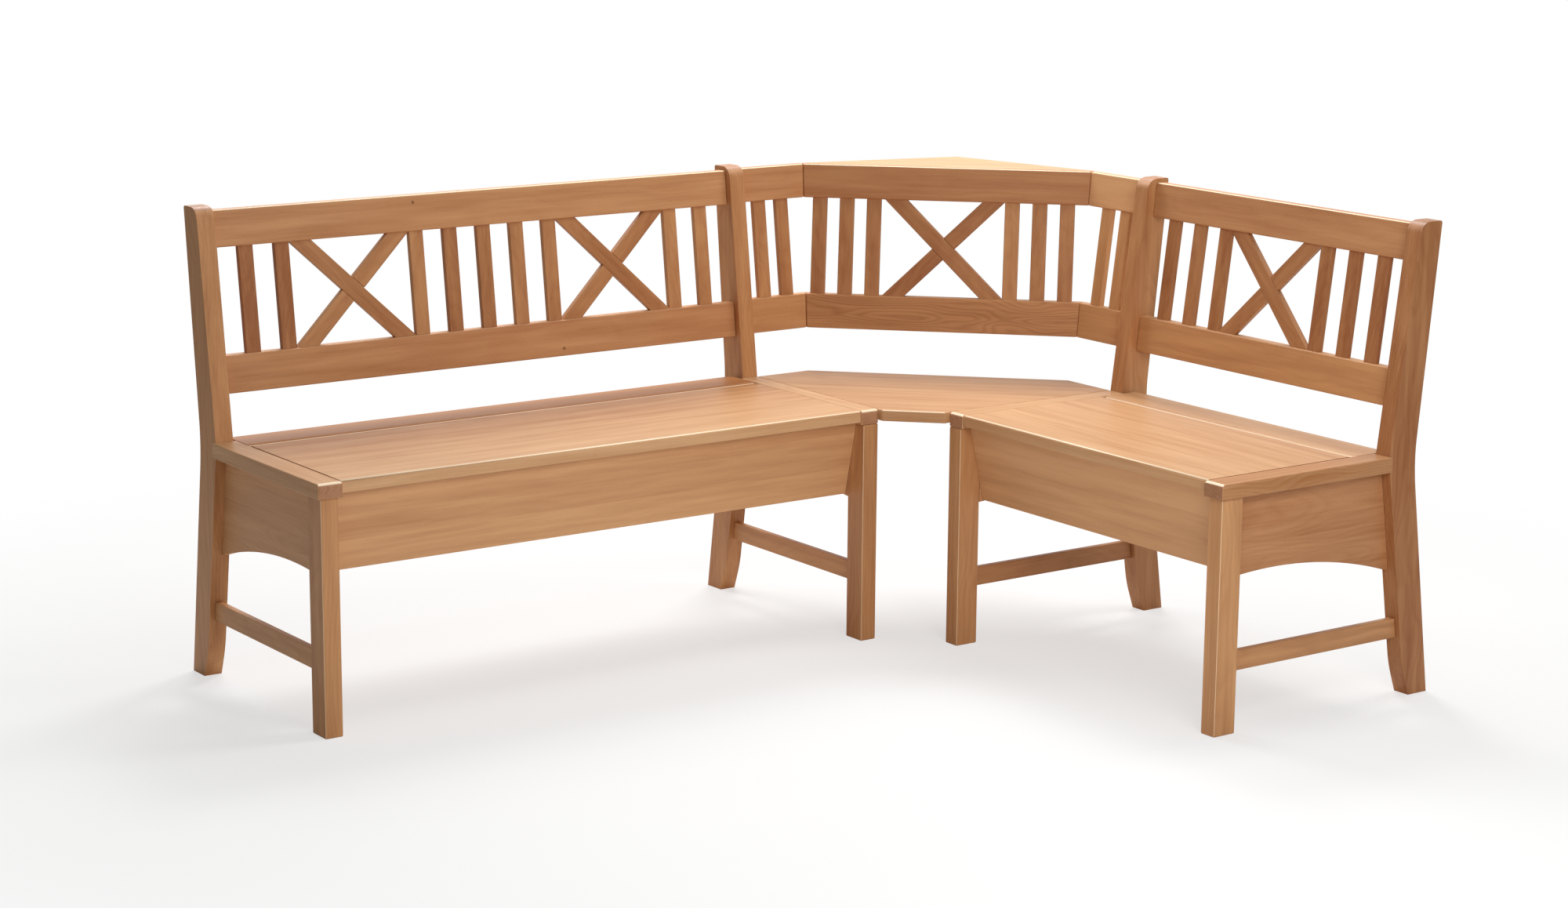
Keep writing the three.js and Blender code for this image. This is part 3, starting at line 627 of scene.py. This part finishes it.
def place_cross(node, name, points):
    """The two bars of a cross, halved over each other. The bar from upper left to lower right runs
    through at the front and the other one at the back."""
    stretch, depth = stretch_of(node)
    places = [(point.dot(stretch), point.dot(depth), point.z) for point in points]
    low = min(place[2] for place in places)
    high = max(place[2] for place in places)
    feet = [place for place in places if place[2] < low + LEVEL]
    heads = [place for place in places if place[2] > high - LEVEL]
    left = min(place[0] for place in feet)
    right = max(place[0] for place in feet)
    cut = min(place[0] for place in feet if place[0] > left + 0.001) - left
    foot = (min(place[1] for place in feet), max(place[1] for place in feet))
    head = (min(place[1] for place in heads), max(place[1] for place in heads))
    middle = (left + right) / 2

    def bar(turn, share):
        corners = [(-turn * (left - middle), low), (-turn * (left + cut - middle), low)]
        corners += [(turn * (left + cut - middle), high), (turn * (left - middle), high)]
        ends = [(middle - place, height) for place, height in corners]
        points = bar_points(ends, (foot, foot, head, head), share)
        return [stretch * a + depth * d + UP * z for a, d, z in points]

    for title, turn, front in (("falling_bar", -1, True), ("rising_bar", 1, False)):
        whole = hull_of(bar(turn, (0, 1)))
        cutter = hull_of(bar(-turn, (0.5, 1.1) if front else (-0.1, 0.5)))
        along = way_up([vert.co for vert in whole.verts])
        ways = (along, depth.cross(along), depth)
        place_board(f"{name}_{title}", node, tenoned(cut_from(whole, cutter), along), ways, "slat")


def place_slatted_rail(node):
    """A lower rail with the slats, and a cross where there is one, that stand in it."""
    solid = solid_of(node)
    stretch, depth = stretch_of(node)
    rail = hull_of([vert.co for vert in solid.verts if vert.co.z < RAIL_TOP + 0.0001])
    name = node.replace("slatted_rail", "lower_rail")
    place_board(name, node, rail, grain_ways(node, "rail"), "rail")
    islands = islands_above(solid, RAIL_TOP + 0.0008)
    islands.sort(key=lambda island: min(point.dot(stretch) for point in island))
    slats = 0
    for island in islands:
        places = [point.dot(stretch) for point in island]
        if max(places) - min(places) > CROSS_WIDTH:
            place_cross(node, node.replace("slatted_rail", "cross"), island)
        else:
            slats += 1
            slat = tenoned(hull_of(island), way_up(island))
            name = node.replace("slatted_rail", f"slat_{slats}")
            place_board(name, node, slat, grain_ways(node, "slat"), "slat")
    solid.free()


def kind_of(node):
    """The kind of board that a node's name holds."""
    for kind in BOARDS:
        if kind in node:
            return kind
    return None


for node, cad_object in frame["nodes"].items():
    if SLOTS[node] == "steel_pin":
        cad_object.data.materials.clear()
        cad_object.data.materials.append(MATERIALS["steel_pin"])
    elif "slatted_rail" in node:
        place_slatted_rail(node)
    elif "cross" in node:
        place_cross(node, node, [vert.co for vert in solid_of(node).verts])
    else:
        kind = kind_of(node)
        solid = solid_of(node)
        if kind == "slat":
            tenoned(solid, way_up([vert.co for vert in solid.verts]))
        place_board(f"{node}_board", node, solid, grain_ways(node, kind), kind)


def studio():
    """A pale floor, a white surround and plain soft lamps."""
    scene = bpy.context.scene
    floor_mesh = bpy.data.meshes.new("floor")
    reach = FLOOR_REACH
    corners = [(-reach, -reach, 0), (reach, -reach, 0), (reach, reach, 0), (-reach, reach, 0)]
    floor_mesh.from_pydata(corners, [], [(0, 1, 2, 3)])
    floor = bpy.data.objects.new("floor", floor_mesh)
    scene.collection.objects.link(floor)
    paper = bpy.data.materials.new("matt_white_paper")
    tree = bare_tree(paper)
    matt = add_node(tree, "ShaderNodeBsdfDiffuse", {"Color": linear("#F4F4F3")}).outputs[0]
    white = add_node(tree, "ShaderNodeEmission", {"Color": (1, 1, 1, 1), "Strength": 1.0}).outputs[0]
    # The paper fades to plain white round the bench, so it has no far edge
    place = add_node(tree, "ShaderNodeTexCoord").outputs["Object"]
    distance = add_node(tree, "ShaderNodeVectorMath", {"operation": "LENGTH"}, {0: place}).outputs[1]
    near, far = FLOOR_FADE
    fade = add_node(
        tree, "ShaderNodeMapRange",
        {"interpolation_type": "SMOOTHSTEP", "From Min": near, "From Max": far, "To Min": 0.6},
        {"Value": distance},
    ).outputs[0]
    rays = add_node(tree, "ShaderNodeLightPath")
    seen = add_node(
        tree, "ShaderNodeMath", {"operation": "MULTIPLY"}, {0: rays.outputs["Is Camera Ray"], 1: fade}
    ).outputs[0]
    mixed = add_node(tree, "ShaderNodeMixShader", links={0: seen, 1: matt, 2: white}).outputs[0]
    add_node(tree, "ShaderNodeOutputMaterial", links={"Surface": mixed})
    floor_mesh.materials.append(paper)

    world = bpy.data.worlds.new("white_surround")
    tree = bare_tree(world)
    rays = add_node(tree, "ShaderNodeLightPath")
    seen = add_node(
        tree, "ShaderNodeMath", {"operation": "ADD"},
        {0: rays.outputs["Is Camera Ray"], 1: rays.outputs["Is Glossy Ray"]},
    ).outputs[0]
    seen = add_node(
        tree, "ShaderNodeMath", {"operation": "ADD", "use_clamp": True},
        {0: seen, 1: rays.outputs["Is Transmission Ray"]},
    ).outputs[0]
    level = add_node(
        tree, "ShaderNodeMapRange", {"To Min": SURROUND_LIGHT, "To Max": 1.0}, {"Value": seen}
    ).outputs[0]
    surround = add_node(
        tree, "ShaderNodeBackground", {"Color": (1, 1, 1, 1)}, {"Strength": level}
    ).outputs[0]
    add_node(tree, "ShaderNodeOutputWorld", links={"Surface": surround})
    scene.world = world

    for name, (place, target, size, power) in LAMPS.items():
        lamp = bpy.data.lights.new(name, "AREA")
        lamp.shape = "RECTANGLE"
        lamp.size, lamp.size_y = size
        lamp.energy = power
        holder = bpy.data.objects.new(name, lamp)
        holder.location = place
        holder.rotation_euler = (Vector(target) - Vector(place)).to_track_quat("-Z", "Y").to_euler()
        scene.collection.objects.link(holder)


def camera():
    """The photograph's view, from the front left at standing height through a long lens."""
    yaw, pitch, roll = (math.radians(angle) for angle in EYE_ANGLES)
    forward = Vector((
        math.sin(yaw) * math.cos(pitch),
        math.cos(yaw) * math.cos(pitch),
        -math.sin(pitch),
    ))
    level = Vector((math.cos(yaw), -math.sin(yaw), 0))
    above = level.cross(forward)
    right = level * math.cos(roll) + above * math.sin(roll)
    top = above * math.cos(roll) - level * math.sin(roll)
    lens = bpy.data.cameras.new("camera")
    lens.lens = FOCAL_LENGTH
    lens.sensor_width = SENSOR_WIDTH
    lens.sensor_fit = "HORIZONTAL"
    lens.clip_end = 60
    eye = bpy.data.objects.new("camera", lens)
    turn = Matrix((right, top, -forward)).transposed().to_4x4()
    eye.matrix_world = Matrix.Translation(EYE) @ turn
    bpy.context.scene.collection.objects.link(eye)
    bpy.context.scene.camera = eye


studio()
camera()
bpy.context.scene.view_settings.view_transform = "Standard"
